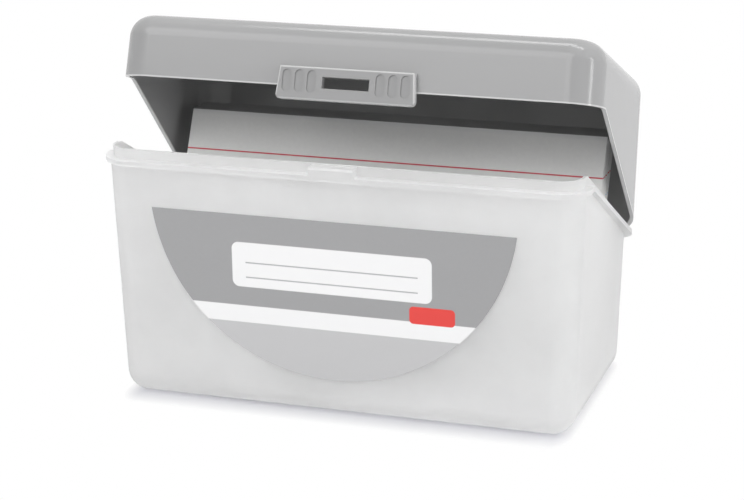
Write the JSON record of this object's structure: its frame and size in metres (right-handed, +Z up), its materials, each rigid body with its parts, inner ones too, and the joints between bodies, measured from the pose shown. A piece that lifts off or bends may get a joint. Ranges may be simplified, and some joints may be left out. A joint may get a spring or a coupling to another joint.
{
  "type": "index card box",
  "caption": "Index card box: frosted clear tray with a slanted rim, a grey hinged lid held ajar, a latch tab on its front, a half-round label and white ruled cards inside.",
  "frame": {"origin": "on the table, at the middle of the tray's width and under the middle of its flange", "axes": "+X to the right seen from the front, -Y towards the front, +Z up"},
  "size_m": [0.1396, 0.082, 0.1068],
  "materials": {
    "frosted_plastic": "frosted, translucent",
    "grey_plastic": "smooth, semi-gloss",
    "label_paper": "coated print",
    "card_paper": "uncoated, ruled"
  },
  "bodies": {
    "base": {"base_tray": "frosted_plastic", "front_label": "label_paper"},
    "lid": {"lid": "grey_plastic"},
    "latch": {"latch_tab": "grey_plastic"},
    "card_pack": {"card_stack": "card_paper"},
    "loose_card": {"front_card": "card_paper"}
  },
  "joints": [
    {"name": "lid_hinge", "type": "hinge", "parent": "base", "child": "lid", "pos_m": [0, 0.0361, 0.037], "axis": [-1, 0, 0], "range_deg": [-18.6, 96.4]},
    {"name": "latch_flex", "type": "hinge", "parent": "lid", "child": "latch", "pos_m": [0, -0.01904, 0.09655], "axis": [-1, 0, 0], "range_deg": [0, 18], "stiffness_Nm_per_rad": 0.05},
    {"name": "cards_tilt", "type": "hinge", "parent": "base", "child": "card_pack", "pos_m": [0, -0.01296, 0.00402], "axis": [1, 0, 0], "range_deg": [0, 20]},
    {"name": "front_card_tilt", "type": "hinge", "parent": "card_pack", "child": "loose_card", "pos_m": [0, -0.01296, 0.00402], "axis": [1, 0, 0], "range_deg": [0, 20]}
  ]
}
